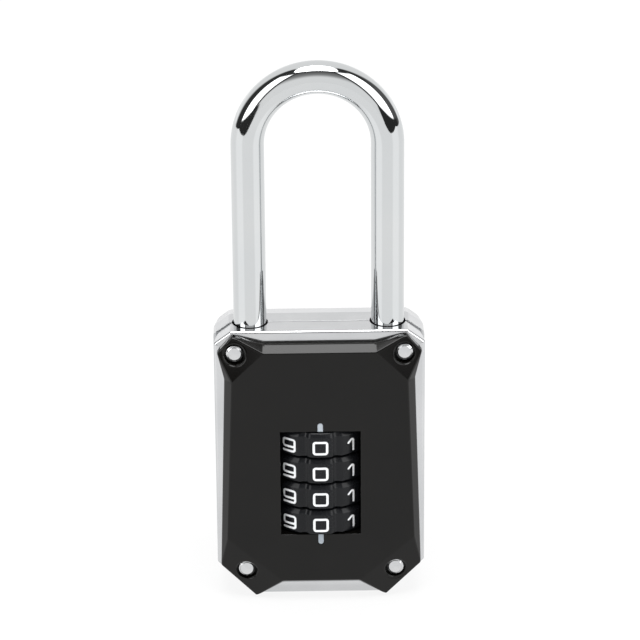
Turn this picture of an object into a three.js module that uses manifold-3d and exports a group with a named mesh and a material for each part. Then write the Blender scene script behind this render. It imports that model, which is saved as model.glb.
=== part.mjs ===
// Four-dial combination padlock with a long shackle.
//
// Millimetres, +Z up. X runs across the width and -Y faces the reader of the dials.
// The origin is on the flat bottom, at mid-width and half-way through the depth.
//
// The lock works as built: pulling the shackle lifts the yoke and the spindle with it, and the
// spindle's four fins only pass the gates of the four sleeves when every dial shows 0.

import * as THREE from 'three';
import { mergeVertices } from 'three/addons/utils/BufferGeometryUtils.js';
import Module from 'manifold-3d';

const wasm = await Module();
wasm.setup();

// ---------------------------------------------------------------- driving dimensions

const GAP = 0.3; // clearance kept between neighbouring pieces

// Cast body: two shells that meet in one upright plane.
const BODY_HALF_WIDTH = 25.6;
const BODY_HEIGHT = 70.5;
const TOP_CHAMFER = { across: 4.05, down: 3 };
const BOTTOM_CHAMFER = { across: 9.5, up: 8.7 };
const FRONT_PLANE_Y = -8.3;
const SEAM_Y = -1.7;
const SLOPE_START_Y = 3.6; // behind this the rear shell's top and sides slope in
const REAR_PLANE_Y = 9;
const FRONT_DRAFT = 0.6; // the front shell's sides lean in this much by the seam
const REAR_DRAFT = 0.85;
const POCKET_DEPTH = [-6.3, 7]; // from the front wall to the rear wall of the lightening pockets

// Faceted covers on the front and the rear.
const FRONT_FACE_Y = -12.8;
const REAR_FACE_Y = 13.8;
const FRONT_COVER_RIM = 1.8; // upright rim of a cover, below its facets
const REAR_COVER_RIM = 1.2;
const COVER_SKIN = 1.6; // thickness left over the hollows in a cover's back
const REAR_COVER_INSET = 2;

// Shackle: a round bar bent into a U, with its heel on the left and its toe on the right.
const WIRE_RADIUS = 4;
const LEG_X = 16.64;
const SHACKLE_Y = SEAM_Y;
const BEND_CENTRE_Z = 116.25;
const LEG_BORE_RADIUS = 4.38;
const HEEL_END_Z = 48.5;
const TOE_END_Z = 58.2;
const NECK = { radius: 2.5, bottom: 50, top: 52.4 };

// Dial stack.
const DIAL_COUNT = 4;
const DIGITS = 10;
const DIAL_PITCH = 6.9;
const DIAL_HEIGHT = 6.3;
const DIAL_RADIUS = 13;
const DIAL_AXIS_Y = -0.8;
const FIRST_DIAL_Z = 18.75; // underside of the lowest dial
const DIAL_CAVITY = { radius: 13.3, bottom: 18.4, top: 46.1 };
const WINDOW = { halfWidth: 9.75, bottom: 18.45, top: 46.05 };
const FLUTE = { radius: 1.3, depth: 0.7 }; // finger flute between two digit pads

// Sleeve inside each dial. It leaves a free gap under it for the spindle's fin.
const SLEEVE = { bottom: 1.9, top: 6.1, root: 7.3, tip: 8.2, bore: 3.4 };
const GATE = { halfWidth: 1.1, reach: 5 };
const FIN = { halfWidth: 0.8, reach: 4.6, bottom: 0.35, top: 1.55 };

// Spindle, yoke and clip, which lift with the shackle by exactly two dial pitches.
const LIFT = 2 * DIAL_PITCH;
const SPINDLE = { radius: 3, tail: 1.4, spigot: 1.7, bottom: 3.3, shoulder: 10.5, top: 53.6 };
const YOKE = { bottom: 50.4, top: 52, halfWidth: 2.9 };
const CLIP_GROOVE = { radius: 1.15, bottom: 52.2, top: 53.3 };

// Fasteners.
const RIVET = { head: 2.05, headHeight: 1, shank: 1.2, length: 4.4, counterbore: 2.55, sink: 1.3 };
const FRONT_RIVETS = { topX: 20.45, topZ: 65.9, bottomX: 18.3, bottomZ: 8.25, headY: -10.7 };
const REAR_RIVETS = { topX: 18.5, topZ: 63.9, bottomX: 16.4, bottomZ: 10.2, headY: 11.8 };
const SCREW = { x: 19.5, lowZ: 17, highZ: 41, head: 2.3, headHeight: 1.7, shank: 1.3, tipY: -6.4 };

// Index marks inlaid above and below the window.
const MARK = { halfWidth: 0.65, depth: 0.3, upperTop: 48.25, lowerBottom: 15.8, sideGap: 0.1 };

const dialBottom = (k) => FIRST_DIAL_Z + k * DIAL_PITCH;

// ---------------------------------------------------------------- solids and booleans

// A closed geometry becomes a solid whose faces point out.
function solidOf(geometry) {
  const bare = geometry.index ? geometry.toNonIndexed() : geometry.clone();
  bare.deleteAttribute('normal');
  bare.deleteAttribute('uv');
  const merged = mergeVertices(bare, 1e-4);
  const points = merged.getAttribute('position').array;
  const index = merged.index.array;
  const corner = (i) => new THREE.Vector3().fromArray(points, 3 * i);
  const triangles = [];
  let volume = 0;
  for (let i = 0; i < index.length; i += 3) {
    const [a, b, c] = [index[i], index[i + 1], index[i + 2]];
    if (a === b || b === c || c === a) continue;
    triangles.push([a, b, c]);
    volume += corner(a).dot(corner(b).cross(corner(c)));
  }
  const facing = volume < 0 ? triangles.map(([a, b, c]) => [a, c, b]) : triangles;
  const mesh = new wasm.Mesh({
    numProp: 3,
    vertProperties: new Float32Array(points),
    triVerts: new Uint32Array(facing.flat()),
  });
  return new wasm.Manifold(mesh);
}

function geometryOf(solid) {
  const { vertProperties, triVerts } = solid.getMesh();
  const geometry = new THREE.BufferGeometry();
  geometry.setAttribute('position', new THREE.BufferAttribute(vertProperties, 3));
  geometry.setIndex(new THREE.BufferAttribute(triVerts, 1));
  geometry.computeVertexNormals();
  return geometry;
}

const union = (solids) => solids.reduce((whole, piece) => whole.add(piece));
const cut = (solid, tools) => tools.reduce((rest, tool) => rest.subtract(tool), solid);

function box([x0, x1], [y0, y1], [z0, z1]) {
  const geometry = new THREE.BoxGeometry(x1 - x0, y1 - y0, z1 - z0);
  return solidOf(geometry.translate((x0 + x1) / 2, (y0 + y1) / 2, (z0 + z1) / 2));
}

// An upright cylinder between two heights.
function post(radius, [z0, z1], [x, y], segments = 28) {
  const geometry = new THREE.CylinderGeometry(radius, radius, z1 - z0, segments);
  return solidOf(geometry.rotateX(Math.PI / 2).translate(x, y, (z0 + z1) / 2));
}

// A cylinder that runs front to back.
function drill(radius, [y0, y1], [x, z], segments = 20) {
  const geometry = new THREE.CylinderGeometry(radius, radius, y1 - y0, segments);
  return solidOf(geometry.translate(x, (y0 + y1) / 2, z));
}

// A profile of [radius, height] pairs turned about the Z axis.
function turned(profile, segments = 24) {
  const points = profile.map(([r, z]) => new THREE.Vector2(r, z));
  return solidOf(new THREE.LatheGeometry(points, segments).rotateX(Math.PI / 2));
}

// A flat outline in X and Y pulled up from z0 to z1.
function pulledUp(outline, [z0, z1]) {
  const shape = new THREE.Shape(outline.map(([x, y]) => new THREE.Vector2(x, y)));
  const geometry = new THREE.ExtrudeGeometry(shape, { depth: z1 - z0, bevelEnabled: false });
  return solidOf(geometry.translate(0, 0, z0));
}

// Flat rings of [x, z] points at given depths, joined by triangles.
// bands lists, for each pair of rings, the triangles between them as [ring, point] corners.
function ringedSolid(rings, bands) {
  const start = [];
  const points = [];
  for (const { y, outline } of rings) {
    start.push(points.length / 3);
    for (const [x, z] of outline) points.push(x, y, z);
  }
  const index = bands.flat(2).map(([ring, point]) => start[ring] + point);
  const cap = (ring, flipped) => {
    const flat = rings[ring].outline.map(([x, z]) => new THREE.Vector2(x, z));
    const faces = THREE.ShapeUtils.triangulateShape(flat, []).flat().map((point) => start[ring] + point);
    return THREE.ShapeUtils.isClockWise(flat) === flipped ? faces : faces.reverse();
  };
  const geometry = new THREE.BufferGeometry();
  geometry.setAttribute('position', new THREE.Float32BufferAttribute(points, 3));
  geometry.setIndex([...index, ...cap(0, true), ...cap(rings.length - 1, false)]);
  return solidOf(geometry);
}

// Quads between two rings with the same number of points.
function wall(lower, upper, count) {
  const triangles = [];
  for (let i = 0; i < count; i += 1) {
    const j = (i + 1) % count;
    triangles.push([[lower, i], [lower, j], [upper, j]]);
    triangles.push([[lower, i], [upper, j], [upper, i]]);
  }
  return triangles;
}

// Half an outline, given down its right side, completed with its mirror image.
const mirrored = (half) => [...half, ...half.map(([x, z]) => [-x, z]).reverse()];

function mesh(name, geometry, material) {
  const piece = new THREE.Mesh(geometry, material);
  piece.name = name;
  return piece;
}

const metal = (color, roughness, metalness = 1) =>
  new THREE.MeshStandardMaterial({ color, roughness, metalness });

// ---------------------------------------------------------------- hollows shared by the shells

// Everything that both shells are hollowed out for, as one solid.
function interior() {
  const past = BODY_HEIGHT + 5;
  const dialRoom = post(DIAL_CAVITY.radius, [DIAL_CAVITY.bottom, DIAL_CAVITY.top], [0, DIAL_AXIS_Y], 48);
  const heelBore = post(LEG_BORE_RADIUS, [HEEL_END_Z - 0.6, past], [-LEG_X, SHACKLE_Y]);
  const toeBore = post(LEG_BORE_RADIUS, [TOE_END_Z - GAP, past], [LEG_X, SHACKLE_Y]);

  const yokeRoom = box(
    [-LEG_X, SPINDLE.radius + 1.3],
    [SHACKLE_Y - YOKE.halfWidth - 0.6, DIAL_AXIS_Y + GATE.reach + 0.2],
    [YOKE.bottom - GAP, YOKE.top + LIFT + 0.1],
  );
  const clipRoom = post(3.9, [YOKE.top, SPINDLE.top + LIFT + 0.4], [0, DIAL_AXIS_Y]);
  const spindleBore = post(SPINDLE.radius + GAP, [2.8, YOKE.top], [0, DIAL_AXIS_Y]);
  const finSlot = box(
    [-GATE.halfWidth, GATE.halfWidth],
    [DIAL_AXIS_Y, DIAL_AXIS_Y + GATE.reach],
    [DIAL_CAVITY.top - 1, YOKE.top],
  );

  const detentRoom = box([12, 16.5], [-3.4, 1.8], [19.6, 45.3]);
  const upperPockets = [
    box([6.3, 11], [-5.4, 5.6], [49.5, 66]),
    box([12.5, 21], POCKET_DEPTH, [47.8, 56]),
  ];
  const sidePockets = [-1, 1].flatMap((side) => {
    const across = (near, far) => [near * side, far * side].sort((a, b) => a - b);
    return [
      box(across(5.5, 15.5), POCKET_DEPTH, [3, 15]),
      box(across(17.5, 23), POCKET_DEPTH, [21, 37]),
    ];
  });

  return union([
    dialRoom, heelBore, toeBore, yokeRoom, clipRoom, spindleBore, finSlot,
    detentRoom, ...upperPockets, ...sidePockets, ...screwPlaces().map(screwHole),
  ]);
}

function screwPlaces() {
  const { x, lowZ, highZ } = SCREW;
  return [[-x, highZ], [x, highZ], [-x, lowZ], [x, lowZ]];
}

function screwHole(place) {
  const shank = drill(SCREW.shank + GAP, [SCREW.tipY - GAP, REAR_PLANE_Y], place, 16);
  const headFloor = REAR_PLANE_Y - SCREW.headHeight - 2 * GAP;
  return shank.add(drill(SCREW.head + GAP, [headFloor, REAR_PLANE_Y + 1], place));
}

// ---------------------------------------------------------------- shells

// Eight-sided outline of the body, drawn in by an inset at the top and the sides.
function bodyOutline(sideInset, topInset = 0) {
  const halfWidth = BODY_HALF_WIDTH - sideInset;
  const top = BODY_HEIGHT - topInset;
  return mirrored([
    [halfWidth - TOP_CHAMFER.across, top],
    [halfWidth, top - TOP_CHAMFER.down],
    [halfWidth, BOTTOM_CHAMFER.up],
    [halfWidth - BOTTOM_CHAMFER.across, 0],
  ]);
}

function shell(rings, hollows, rivets, depthRange) {
  const bands = rings.slice(1).map((_, i) => wall(i, i + 1, rings[0].outline.length));
  const holes = rivetPlaces(rivets).map((place) => drill(RIVET.shank + GAP, depthRange, place, 16));
  return cut(ringedSolid(rings, bands), [hollows, ...holes]);
}

function frontShell(hollows) {
  const rings = [
    { y: FRONT_PLANE_Y, outline: bodyOutline(0) },
    { y: SEAM_Y - GAP / 2, outline: bodyOutline(FRONT_DRAFT) },
  ];
  const tip = FRONT_RIVETS.headY + RIVET.length;
  return shell(rings, hollows, FRONT_RIVETS, [FRONT_PLANE_Y - 1, tip + GAP]);
}

function rearShell(hollows) {
  const rings = [
    { y: SEAM_Y + GAP / 2, outline: bodyOutline(0) },
    { y: SLOPE_START_Y, outline: bodyOutline(0) },
    { y: REAR_PLANE_Y, outline: bodyOutline(REAR_DRAFT, REAR_DRAFT) },
  ];
  const tip = REAR_RIVETS.headY - RIVET.length;
  return shell(rings, hollows, REAR_RIVETS, [tip - GAP, REAR_PLANE_Y + 1]);
}

// ---------------------------------------------------------------- covers

// Right half of a cover's flat face and of its base, from the top down. The base has two ears at
// each corner. OWNERS gives, for each base point, the face point that its facet rises to.
const COVER_FACE = [[13.5, 66.7], [21.2, 59.15], [22.8, 17.6], [9.4, 5.8]];
const COVER_BASE = [
  [13.4, 68.3], [21.1, 70.2], [24.7, 66.1], [23.05, 59.2], [24.6, 9.2], [16, 0.6], [9.4, 4.3],
];
const OWNERS = [0, 0, 1, 1, 2, 3, 3];

function coverBlank(faceY, baseY, inset) {
  const outward = Math.sign(faceY - baseY);
  const pulledIn = ([x, z]) => [x - inset, z > BODY_HEIGHT / 2 ? z - inset : z + inset];
  const face = mirrored(COVER_FACE.map(pulledIn));
  const base = mirrored(COVER_BASE.map(pulledIn));
  const owners = [...OWNERS, ...OWNERS.map((owner) => face.length - 1 - owner).reverse()];
  const facets = [];
  base.forEach((_, i) => {
    const j = (i + 1) % base.length;
    facets.push([[0, i], [0, j], [1, owners[j]]]);
    if (owners[i] !== owners[j]) facets.push([[0, i], [1, owners[j]], [1, owners[i]]]);
  });
  return { outward, face, base, facets };
}

// The base rim is an upright band; the facets rise from it to the flat face.
function coverSolid(faceY, baseY, rim, inset) {
  const { outward, face, base, facets } = coverBlank(faceY, baseY, inset);
  const rings = [
    { y: baseY, outline: base },
    { y: baseY + outward * rim, outline: base },
    { y: faceY, outline: face },
  ];
  const rising = facets.map((corners) => corners.map(([ring, point]) => [ring + 1, point]));
  return ringedSolid(rings, [wall(0, 1, base.length), rising]);
}

// Hollows in a cover's back, which leave ribs around the window and the corners.
function coverHollows(faceY, baseY) {
  const outward = Math.sign(faceY - baseY);
  const depth = [baseY - outward, faceY - outward * COVER_SKIN].sort((a, b) => a - b);
  return [
    box([-18.6, -14.2], depth, [16, 56]),
    box([14.2, 18.6], depth, [16, 56]),
    box([-11, 11], depth, [50.5, 63.5]),
    box([-11, 11], depth, [8.5, 14]),
  ];
}

function rivetPlaces({ topX, topZ, bottomX, bottomZ }) {
  return [[-topX, topZ], [topX, topZ], [-bottomX, bottomZ], [bottomX, bottomZ]];
}

// Counterbore for a rivet's head, with the hole for its shank.
function rivetSeats(rivets, faceY, baseY) {
  const outward = Math.sign(faceY - baseY);
  const floor = rivets.headY - outward * RIVET.sink;
  const span = (from, to) => [Math.min(from, to), Math.max(from, to)];
  return rivetPlaces(rivets).map((place) => {
    const seat = drill(RIVET.counterbore, span(floor, faceY + outward), place);
    return seat.add(drill(RIVET.shank + GAP, span(floor + outward * 0.1, baseY - outward), place, 16));
  });
}

// A round-ended index mark in X and Z, standing on the window's edge.
function markOutline(nearZ, farZ, halfWidth) {
  const away = Math.sign(farZ - nearZ);
  const round = [];
  for (let i = 0; i <= 6; i += 1) {
    const angle = (Math.PI * i) / 6;
    const z = farZ - away * halfWidth * (1 - Math.sin(angle));
    round.push([halfWidth * Math.cos(angle), z]);
  }
  return [[halfWidth, nearZ], ...round, [-halfWidth, nearZ]];
}

function markSolid(nearZ, farZ, halfWidth, [y0, y1]) {
  const outline = markOutline(nearZ, farZ, halfWidth);
  return ringedSolid([{ y: y0, outline }, { y: y1, outline }], [wall(0, 1, outline.length)]);
}

function frontCover() {
  const baseY = FRONT_PLANE_Y - GAP;
  const windowHole = box(
    [-WINDOW.halfWidth, WINDOW.halfWidth],
    [FRONT_FACE_Y - 2, baseY + 2],
    [WINDOW.bottom, WINDOW.top],
  );
  const recess = [FRONT_FACE_Y - 1, FRONT_FACE_Y + MARK.depth + GAP];
  const wide = MARK.halfWidth + MARK.sideGap;
  return cut(coverSolid(FRONT_FACE_Y, baseY, FRONT_COVER_RIM, 0), [
    windowHole,
    post(DIAL_CAVITY.radius, [DIAL_CAVITY.bottom, DIAL_CAVITY.top], [0, DIAL_AXIS_Y], 48),
    markSolid(WINDOW.top - 1, MARK.upperTop + MARK.sideGap, wide, recess),
    markSolid(WINDOW.bottom + 1, MARK.lowerBottom - MARK.sideGap, wide, recess),
    ...coverHollows(FRONT_FACE_Y, baseY),
    ...rivetSeats(FRONT_RIVETS, FRONT_FACE_Y, baseY),
  ]);
}

function rearCover() {
  const baseY = REAR_PLANE_Y + GAP;
  return cut(coverSolid(REAR_FACE_Y, baseY, REAR_COVER_RIM, REAR_COVER_INSET), [
    post(DIAL_CAVITY.radius, [DIAL_CAVITY.bottom, DIAL_CAVITY.top], [0, DIAL_AXIS_Y], 48),
    ...coverHollows(REAR_FACE_Y, baseY),
    ...rivetSeats(REAR_RIVETS, REAR_FACE_Y, baseY),
  ]);
}

// ---------------------------------------------------------------- fasteners

// A flat-headed rivet on the Z axis, head up, with its head's top at the origin.
function rivetSolid() {
  const { head, headHeight, shank, length } = RIVET;
  const bevel = 0.25;
  return turned([
    [0, -length], [shank - bevel, -length], [shank, bevel - length], [shank, -headHeight],
    [head, -headHeight], [head, -bevel], [head - bevel, 0], [0, 0],
  ], 16);
}

// A pan-head screw on the Z axis, head up, with its head's top at the origin and a cross recess.
function screwSolid() {
  const { head, headHeight, shank, tipY } = SCREW;
  const length = REAR_PLANE_Y - GAP - tipY;
  const body = turned([
    [0, -length], [shank - 0.5, -length], [shank, 0.7 - length], [shank, -headHeight],
    [head, -headHeight], [head, -0.6], [head - 0.6, 0], [0, 0],
  ], 12);
  const slot = [-0.9, 1];
  return cut(body, [box([-1.2, 1.2], [-0.3, 0.3], slot), box([-0.3, 0.3], [-1.2, 1.2], slot)]);
}

// ---------------------------------------------------------------- shackle group

// The centre line of the bar: up the heel leg, round the bend and down the toe leg.
class ShackleLine extends THREE.Curve {
  getPoint(t, target = new THREE.Vector3()) {
    const heel = BEND_CENTRE_Z - HEEL_END_Z;
    const bend = Math.PI * LEG_X;
    const toe = BEND_CENTRE_Z - TOE_END_Z;
    const along = t * (heel + bend + toe);
    if (along < heel) return target.set(-LEG_X, SHACKLE_Y, HEEL_END_Z + along);
    if (along > heel + bend) return target.set(LEG_X, SHACKLE_Y, TOE_END_Z + toe - (along - heel - bend));
    const angle = Math.PI - (along - heel) / LEG_X;
    return target.set(LEG_X * Math.cos(angle), SHACKLE_Y, BEND_CENTRE_Z + LEG_X * Math.sin(angle));
  }
}

function discShape(radius, sides) {
  const shape = new THREE.Shape();
  for (let i = 0; i < sides; i += 1) {
    const angle = (2 * Math.PI * i) / sides;
    const place = [radius * Math.cos(angle), radius * Math.sin(angle)];
    if (i === 0) shape.moveTo(...place);
    else shape.lineTo(...place);
  }
  shape.closePath();
  return shape;
}

// A ring that turns down the end of a leg: everything outside the profile is cut away.
function legRing(x, profile) {
  const [first] = profile;
  return turned([...profile, first], 24).translate([x, SHACKLE_Y, 0]);
}

function shackleSolid() {
  const bar = new THREE.ExtrudeGeometry(discShape(WIRE_RADIUS, 20), {
    steps: 44,
    bevelEnabled: false,
    extrudePath: new ShackleLine(),
  });
  const outside = WIRE_RADIUS + 1;
  const neck = [
    [NECK.radius, NECK.bottom], [outside, NECK.bottom], [outside, NECK.top], [NECK.radius, NECK.top],
  ];
  const chamfer = 0.9;
  const toeEnd = [
    [WIRE_RADIUS - chamfer, TOE_END_Z - 0.1], [outside, TOE_END_Z - 0.1],
    [outside, TOE_END_Z + chamfer + 1], [WIRE_RADIUS, TOE_END_Z + chamfer],
  ];
  return cut(solidOf(bar), [legRing(-LEG_X, neck), legRing(LEG_X, toeEnd)]);
}

// The yoke is a flat plate: a fork round the heel's neck at one end, an eye on the spindle at the other.
function yokeSolid() {
  const height = [YOKE.bottom, YOKE.top];
  const bar = pulledUp([
    [-LEG_X, SHACKLE_Y - YOKE.halfWidth], [0, DIAL_AXIS_Y - YOKE.halfWidth],
    [0, DIAL_AXIS_Y + YOKE.halfWidth], [-LEG_X, SHACKLE_Y + YOKE.halfWidth],
  ], height);
  const plate = union([
    bar,
    post(WIRE_RADIUS, height, [-LEG_X, SHACKLE_Y]),
    post(SPINDLE.radius + 0.6, height, [0, DIAL_AXIS_Y]),
  ]);
  const tall = [YOKE.bottom - 1, YOKE.top + 1];
  const neckRoom = NECK.radius + GAP;
  return cut(plate, [
    post(neckRoom, tall, [-LEG_X, SHACKLE_Y]),
    box([-LEG_X - 8, -LEG_X], [SHACKLE_Y - neckRoom, SHACKLE_Y + neckRoom], tall),
    post(SPINDLE.spigot + GAP, tall, [0, DIAL_AXIS_Y]),
  ]);
}

// The spindle, with one fin at the back for each dial.
function spindleSolid() {
  const { radius, tail, spigot, bottom, shoulder, top } = SPINDLE;
  const seat = YOKE.bottom - GAP;
  const rod = turned([
    [0, bottom], [tail, bottom], [tail, shoulder], [radius, shoulder], [radius, seat], [spigot, seat],
    [spigot, CLIP_GROOVE.bottom], [CLIP_GROOVE.radius, CLIP_GROOVE.bottom],
    [CLIP_GROOVE.radius, CLIP_GROOVE.top], [spigot, CLIP_GROOVE.top], [spigot, top], [0, top],
  ]);
  const fins = [];
  for (let k = 0; k < DIAL_COUNT; k += 1) {
    const height = [dialBottom(k) + FIN.bottom, dialBottom(k) + FIN.top];
    fins.push(box([-FIN.halfWidth, FIN.halfWidth], [0, FIN.reach], height));
  }
  return union([rod, ...fins]).translate([0, DIAL_AXIS_Y, 0]);
}

// A C-shaped clip in the spindle's groove, open to the right.
function clipSolid() {
  const height = [CLIP_GROOVE.bottom + GAP, CLIP_GROOVE.top - GAP];
  const inner = CLIP_GROOVE.radius + GAP;
  const centre = [0, DIAL_AXIS_Y];
  const tall = [height[0] - 1, height[1] + 1];
  return cut(post(3.3, height, centre), [
    post(inner, tall, centre),
    box([0, 5], [DIAL_AXIS_Y - inner * 0.8, DIAL_AXIS_Y + inner * 0.8], tall),
  ]);
}

// ---------------------------------------------------------------- springs

class Helix extends THREE.Curve {
  constructor(radius, turns, bottom, top) {
    super();
    Object.assign(this, { radius, turns, bottom, top });
  }

  getPoint(t, target = new THREE.Vector3()) {
    const angle = 2 * Math.PI * this.turns * t;
    const z = THREE.MathUtils.lerp(this.bottom, this.top, t);
    return target.set(this.radius * Math.cos(angle), DIAL_AXIS_Y + this.radius * Math.sin(angle), z);
  }
}

// Compression spring under the spindle's shoulder, round its tail.
function shackleSpring() {
  const wire = 0.4;
  const turns = 5;
  const line = new Helix(2.35, turns, 3.1 + wire, SPINDLE.shoulder - 0.1 - wire);
  return solidOf(new THREE.ExtrudeGeometry(discShape(wire, 6), {
    steps: turns * 12,
    bevelEnabled: false,
    extrudePath: line,
  }));
}

// Leaf spring beside the dials, with one wave that bears on each.
function detentSpring() {
  const thickness = 0.45;
  const steps = 8 * DIAL_COUNT;
  const near = [];
  const far = [];
  for (let i = 0; i <= steps; i += 1) {
    const z = FIRST_DIAL_Z - 0.3 + (i / steps) * DIAL_COUNT * DIAL_PITCH;
    const wave = 1 + Math.cos((2 * Math.PI * i) / 8);
    near.push([DIAL_RADIUS + GAP + 0.1 + wave, z]);
    far.push([DIAL_RADIUS + GAP + 0.1 + thickness + wave, z]);
  }
  const trim = 4;
  const outline = [...near.slice(trim, -trim), ...far.slice(trim, -trim).reverse()];
  const rings = [{ y: -2.8, outline }, { y: 1.2, outline }];
  return ringedSolid(rings, [wall(0, 1, outline.length)]);
}

// ---------------------------------------------------------------- dials

// Ten-toothed outline in X and Y, used for the sleeve and, slightly larger, for its seat.
function toothed(root, tip) {
  const outline = [];
  const step = (2 * Math.PI) / DIGITS;
  for (let k = 0; k < DIGITS; k += 1) {
    for (const [share, radius] of [[0.05, root], [0.45, root], [0.55, tip], [0.95, tip]]) {
      const angle = (k + share) * step;
      outline.push([radius * Math.cos(angle), radius * Math.sin(angle)]);
    }
  }
  return outline;
}

// A dial stands on the origin with its axis on Z and the pad for 0 facing -Y.
function dialSolid() {
  const r = DIAL_RADIUS;
  const ring = turned([
    [0, 0], [r - 0.35, 0], [r, 0.35], [r, 5.3], [r - 0.8, DIAL_HEIGHT], [0, DIAL_HEIGHT],
  ], 50);
  const flutes = [];
  for (let k = 0; k < DIGITS; k += 1) {
    const angle = ((2 * k + 1) * Math.PI) / DIGITS - Math.PI / 2;
    const out = r + FLUTE.radius - FLUTE.depth;
    const place = [out * Math.cos(angle), out * Math.sin(angle)];
    flutes.push(post(FLUTE.radius, [-1, DIAL_HEIGHT + 1], place, 10));
  }
  const seat = pulledUp(toothed(SLEEVE.root + GAP, SLEEVE.tip + GAP), [SLEEVE.bottom - GAP, DIAL_HEIGHT + 1]);
  return cut(ring, [...flutes, seat, post(FIN.reach + 1.4, [-1, SLEEVE.bottom], [0, 0])]);
}

// A sleeve with its bore for the spindle and the gate for the fin, at the back.
function sleeveSolid() {
  const body = pulledUp(toothed(SLEEVE.root, SLEEVE.tip), [SLEEVE.bottom, SLEEVE.top]);
  const through = [SLEEVE.bottom - 1, SLEEVE.top + 1];
  return cut(body, [
    post(SLEEVE.bore, through, [0, 0]),
    box([-GATE.halfWidth, GATE.halfWidth], [0, GATE.reach], through),
  ]);
}

// ---------------------------------------------------------------- assembly

const SIDES = ['top_left', 'top_right', 'bottom_left', 'bottom_right'];

// Rivets placed at a cover's four corners; turn is the rotation that brings the head outward.
function rivetRow(prefix, rivets, turn) {
  const geometry = geometryOf(rivetSolid());
  return rivetPlaces(rivets).map(([x, z], i) => {
    const rivet = mesh(`${prefix}_rivet_${SIDES[i]}`, geometry, metal(0xe4e4e6, 0.28));
    rivet.position.set(x, rivets.headY, z);
    rivet.rotation.x = turn;
    return rivet;
  });
}

function lockBody() {
  const hollows = interior();
  const black = () => new THREE.MeshStandardMaterial({ color: 0x2c2b2a, roughness: 0.5, metalness: 0.25 });
  const white = () => new THREE.MeshStandardMaterial({ color: 0xe9edf2, roughness: 0.55, metalness: 0 });
  const inlay = [FRONT_FACE_Y, FRONT_FACE_Y + MARK.depth];
  const upperMark = markSolid(WINDOW.top, MARK.upperTop, MARK.halfWidth, inlay);
  const lowerMark = markSolid(WINDOW.bottom, MARK.lowerBottom, MARK.halfWidth, inlay);

  const group = new THREE.Group();
  group.add(
    mesh('front_shell', geometryOf(frontShell(hollows)), metal(0xc9cacb, 0.38)),
    mesh('rear_shell', geometryOf(rearShell(hollows)), metal(0xc2c3c4, 0.4)),
    mesh('front_cover', geometryOf(frontCover()), black()),
    mesh('rear_cover', geometryOf(rearCover()), black()),
    mesh('upper_index_mark', geometryOf(upperMark), white()),
    mesh('lower_index_mark', geometryOf(lowerMark), white()),
    mesh('detent_spring', geometryOf(detentSpring()), metal(0xb8b9bb, 0.3)),
    mesh('shackle_spring', geometryOf(shackleSpring()), metal(0xb0b1b3, 0.32)),
    ...rivetRow('front', FRONT_RIVETS, Math.PI / 2),
    ...rivetRow('rear', REAR_RIVETS, -Math.PI / 2),
  );
  const screw = geometryOf(screwSolid());
  screwPlaces().forEach(([x, z], i) => {
    const piece = mesh(`case_screw_${SIDES[i]}`, screw, metal(0xa9aaac, 0.35));
    piece.position.set(x, REAR_PLANE_Y - GAP, z);
    piece.rotation.x = -Math.PI / 2;
    group.add(piece);
  });
  return group;
}

function shackleGroup() {
  const group = new THREE.Group();
  group.add(
    mesh('shackle', geometryOf(shackleSolid()), metal(0xe6e8ea, 0.12)),
    mesh('lift_yoke', geometryOf(yokeSolid()), metal(0x9fa1a4, 0.4)),
    mesh('spindle', geometryOf(spindleSolid()), metal(0xb5a06a, 0.35)),
    mesh('spindle_clip', geometryOf(clipSolid()), metal(0x8d8f92, 0.35)),
  );
  return group;
}

function dialStack() {
  const dial = geometryOf(dialSolid());
  const sleeve = geometryOf(sleeveSolid());
  const stack = new THREE.Group();
  stack.position.y = DIAL_AXIS_Y;
  for (let k = 0; k < DIAL_COUNT; k += 1) {
    const number = DIAL_COUNT - k; // counted from the top
    const black = new THREE.MeshStandardMaterial({ color: 0x1d1d1f, roughness: 0.32, metalness: 0.1 });
    const level = new THREE.Group();
    level.position.z = dialBottom(k);
    level.add(mesh(`dial_${number}`, dial, black), mesh(`sleeve_${number}`, sleeve, metal(0xc2a35a, 0.35)));
    stack.add(level);
  }
  return stack;
}

const padlock = new THREE.Group();
padlock.add(lockBody(), shackleGroup(), dialStack());

export default padlock;
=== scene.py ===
# Four-dial combination padlock with a long shackle: visual model, studio and camera.
#
# Lengths in this file are millimetres unless a name says otherwise; MM turns them into metres.
# +Z is up along the shackle, and -Y faces the reader of the dials.

import math

import bmesh
import bpy
from mathutils import Matrix, Vector


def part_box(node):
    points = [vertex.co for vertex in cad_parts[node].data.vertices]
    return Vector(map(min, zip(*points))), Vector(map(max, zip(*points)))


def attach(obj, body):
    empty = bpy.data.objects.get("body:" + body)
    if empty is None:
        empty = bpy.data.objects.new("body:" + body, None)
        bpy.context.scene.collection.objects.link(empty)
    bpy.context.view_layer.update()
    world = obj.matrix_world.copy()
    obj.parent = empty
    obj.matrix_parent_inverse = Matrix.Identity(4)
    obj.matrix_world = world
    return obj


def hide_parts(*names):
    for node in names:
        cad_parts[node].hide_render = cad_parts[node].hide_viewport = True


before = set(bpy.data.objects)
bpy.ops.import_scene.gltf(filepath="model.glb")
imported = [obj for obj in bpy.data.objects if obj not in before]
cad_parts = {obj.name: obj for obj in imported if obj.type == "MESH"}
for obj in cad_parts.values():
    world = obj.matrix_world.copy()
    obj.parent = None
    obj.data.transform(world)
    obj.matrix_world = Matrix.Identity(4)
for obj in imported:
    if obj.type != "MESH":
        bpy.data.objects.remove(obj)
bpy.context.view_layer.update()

MM = 0.001
# Clearance between neighbouring pieces.
GAP = 0.3
CORNERS = ("top_left", "top_right", "bottom_left", "bottom_right")

scene = bpy.context.scene


# ---------------------------------------------------------------- camera

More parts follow.
